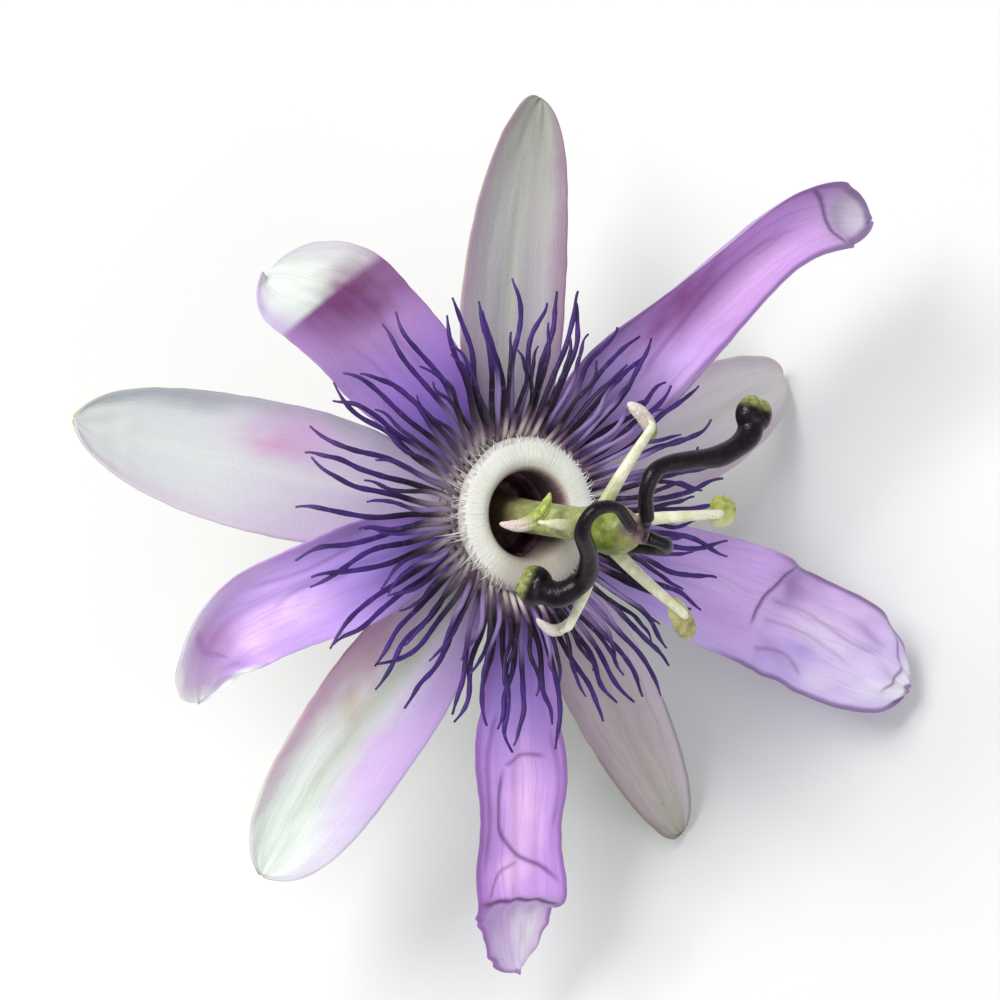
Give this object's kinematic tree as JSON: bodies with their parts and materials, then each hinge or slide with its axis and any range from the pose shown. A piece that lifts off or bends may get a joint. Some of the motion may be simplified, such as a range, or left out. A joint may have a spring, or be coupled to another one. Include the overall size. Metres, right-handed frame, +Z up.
{
  "type": "passion flower",
  "caption": "Picked passion flower lying face up: pale sepals, lavender petals, banded violet corona, ringed nectar cup, column with stamens and dark styles, on a short stalk.",
  "frame": {"origin": "on the surface that the flower lies on, under the middle of its box", "axes": "+Z up from that surface; +Y towards the tip of the top sepal; +X towards the side that the bloom leans to"},
  "size_m": [0.093, 0.0966, 0.0612],
  "materials": {
    "sepal": "satin, white with green keel and mauve margins",
    "petal": "satin, lavender with darker veins and creases",
    "corona": "matte, cream at the root, then near black, then violet",
    "ring": "matte, faint radial ribs",
    "green": "satin",
    "column": "satin",
    "anther": "matte, dusty with pollen",
    "ovary": "satin",
    "style": "satin, with an olive stigma",
    "bract": "matte, veined"
  },
  "bodies": {
    "root": {"sepal_top": "sepal", "sepal_right": "sepal", "sepal_low_right": "sepal", "sepal_low_left": "sepal", "sepal_left": "sepal", "petal_high_right": "petal", "petal_right": "petal", "petal_low": "petal", "petal_left": "petal", "petal_high_left": "petal", "corona_outer_row": "corona", "corona_inner_row": "corona", "nectar_ring": "ring", "floral_cup": "green", "column": "column", "anther_1": "anther", "anther_2": "anther", "anther_3": "anther", "anther_4": "anther", "anther_5": "anther", "ovary": "ovary", "style_1": "style", "style_2": "style", "style_3": "style", "bract_1": "bract", "bract_2": "bract", "bract_3": "bract", "stalk": "green"}
  },
  "joints": []
}
